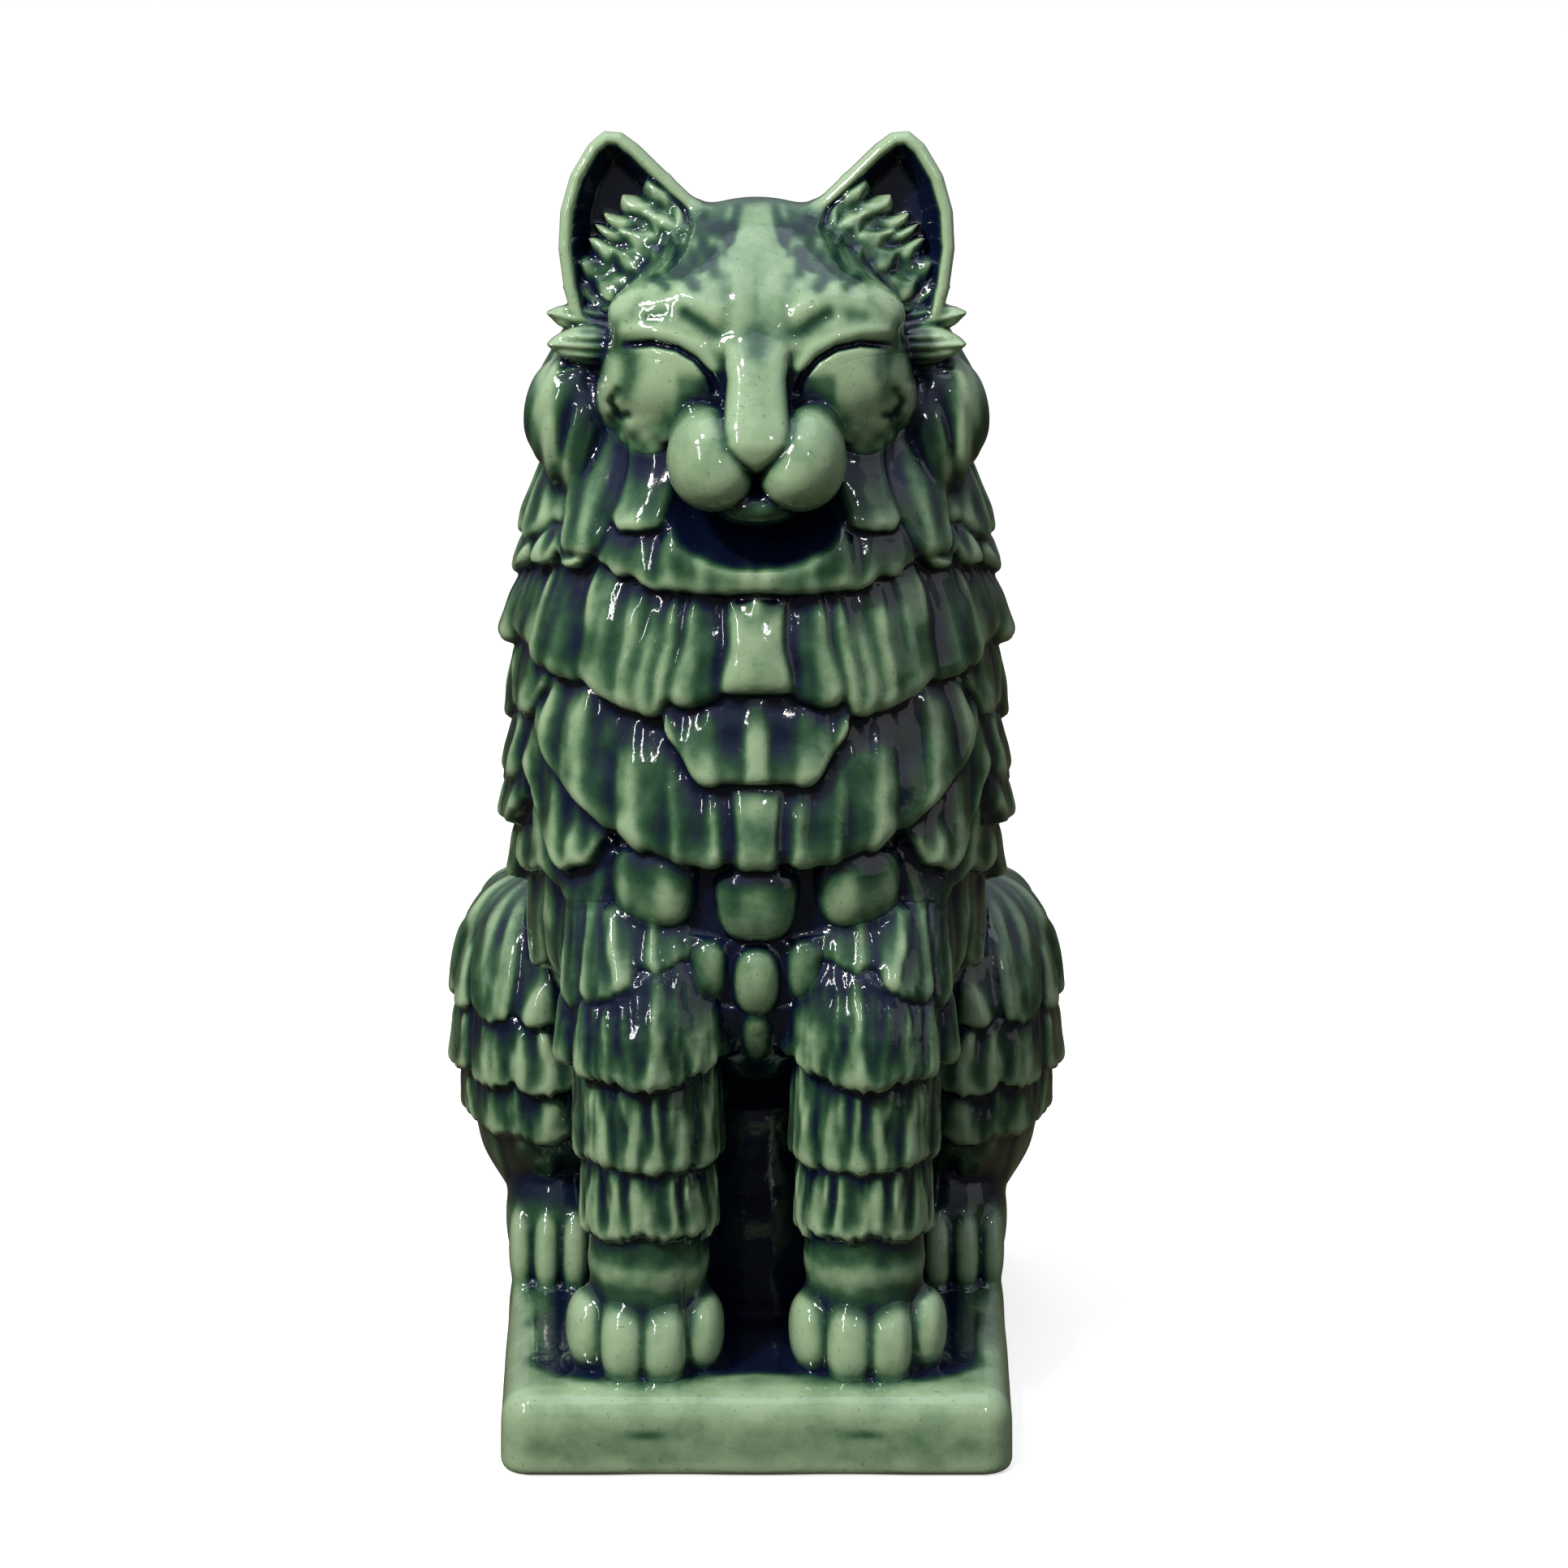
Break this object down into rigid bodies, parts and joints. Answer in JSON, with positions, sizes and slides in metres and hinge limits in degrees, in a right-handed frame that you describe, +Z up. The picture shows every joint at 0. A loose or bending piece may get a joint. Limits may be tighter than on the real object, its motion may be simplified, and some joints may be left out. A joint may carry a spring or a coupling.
{
  "type": "foo dog statue",
  "caption": "Glazed stoneware guardian cat seated upright on a low rectangular plinth, covered in carved fur tiers, with pricked ears and closed smiling eyes.",
  "frame": {"origin": "middle of the figure's footprint on the surface that the plinth stands on, on the plane of symmetry", "axes": "+Z up, the cat faces -Y, +X is the cat's left, and X = 0 is the plane of symmetry"},
  "size_m": [0.206, 0.216, 0.3995],
  "materials": {
    "pale_glaze": "gloss celadon glaze, thin over the high spots",
    "green_glaze": "gloss mottled green glaze, pale on the locks and deep green in the furrows",
    "navy_glaze": "gloss green-black glaze, pooled to navy in the deep recesses"
  },
  "bodies": {
    "root": {"plinth": "pale_glaze", "torso_shell": "navy_glaze", "skull": "pale_glaze", "mane_ruff": "green_glaze", "chest_band": "green_glaze", "swag_band": "green_glaze", "rib_band": "green_glaze", "belly_band": "green_glaze", "rump_band": "green_glaze", "chest_bib": "green_glaze", "belly_drop": "green_glaze", "nose_bridge": "pale_glaze", "left_whisker_pad": "pale_glaze", "right_whisker_pad": "pale_glaze", "chin": "pale_glaze", "left_cheek": "pale_glaze", "right_cheek": "pale_glaze", "left_ear": "green_glaze", "right_ear": "green_glaze", "left_ear_tuft": "green_glaze", "right_ear_tuft": "green_glaze", "left_cheek_tuft": "green_glaze", "right_cheek_tuft": "green_glaze", "left_mane_lobe": "green_glaze", "right_mane_lobe": "green_glaze", "nape_mane": "green_glaze", "left_foreleg": "green_glaze", "right_foreleg": "green_glaze", "left_elbow_fringe": "green_glaze", "right_elbow_fringe": "green_glaze", "left_forearm_fringe": "green_glaze", "right_forearm_fringe": "green_glaze", "left_wrist_fringe": "green_glaze", "right_wrist_fringe": "green_glaze", "left_forepaw": "pale_glaze", "right_forepaw": "pale_glaze", "left_haunch": "green_glaze", "right_haunch": "green_glaze", "left_hind_paw": "pale_glaze", "right_hind_paw": "pale_glaze", "left_haunch_fringe_upper": "green_glaze", "right_haunch_fringe_upper": "green_glaze", "left_haunch_fringe_middle": "green_glaze", "right_haunch_fringe_middle": "green_glaze", "left_haunch_fringe_lower": "green_glaze", "right_haunch_fringe_lower": "green_glaze", "tail_root": "green_glaze", "tail_plume": "green_glaze"}
  },
  "joints": []
}
